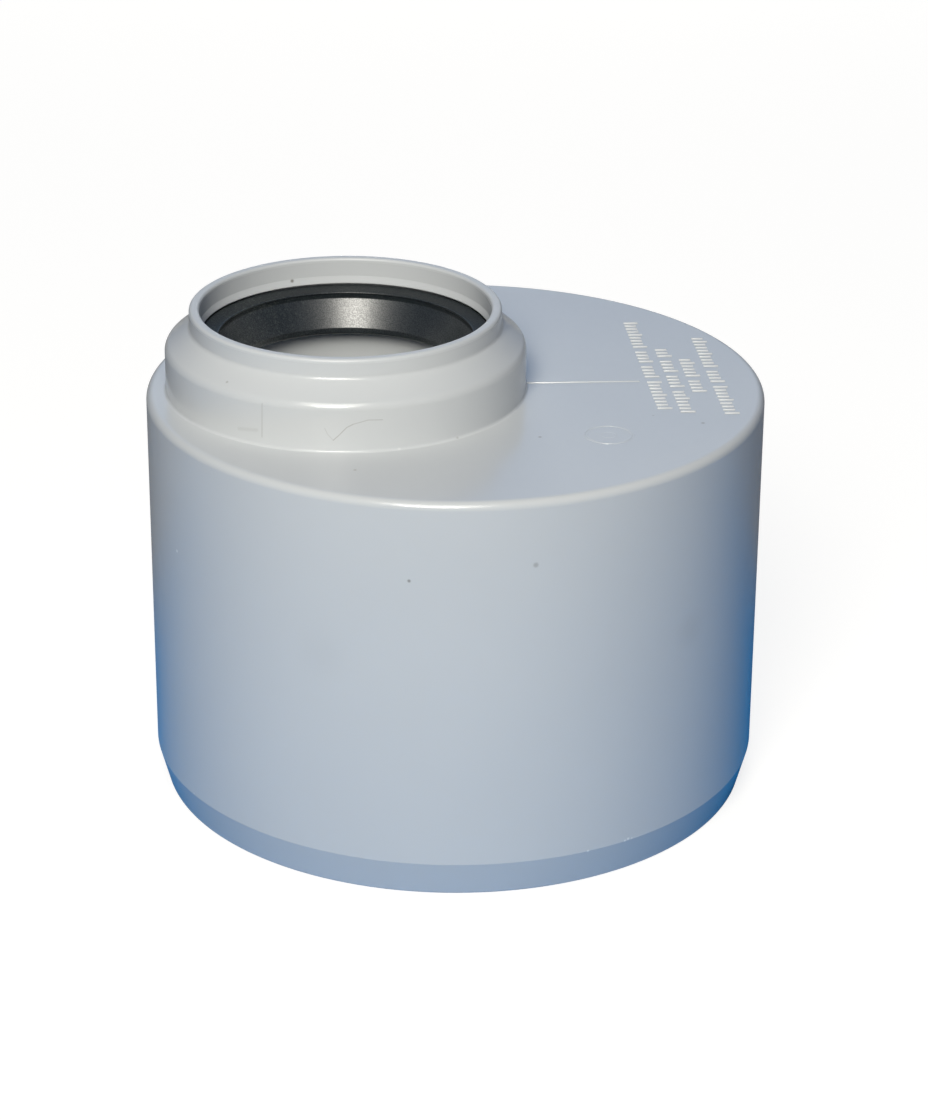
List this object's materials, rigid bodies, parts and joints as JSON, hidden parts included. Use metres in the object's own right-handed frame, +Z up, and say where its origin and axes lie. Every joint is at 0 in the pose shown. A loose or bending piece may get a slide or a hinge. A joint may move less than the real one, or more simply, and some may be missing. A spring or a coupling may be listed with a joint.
{
  "type": "pipe increaser",
  "caption": "Short eccentric push-fit drain pipe increaser with a large spigot end and a small off-centre socket that holds a lip seal.",
  "frame": {"origin": "centre of the spigot's open end face, which the fitting stands on", "axes": "+Z up the spigot's axis, from the open end towards the socket; the socket's axis is parallel to it, off centre along -X"},
  "size_m": [0.11, 0.11, 0.0888],
  "materials": {
    "moulded_plastic": "light grey moulded plastic with a soft satin sheen",
    "seal_rubber": "near black elastomer, smooth, with a soft shine on the lip"
  },
  "bodies": {
    "root": {"increaser_body": "moulded_plastic", "lip_seal": "seal_rubber"}
  },
  "joints": []
}
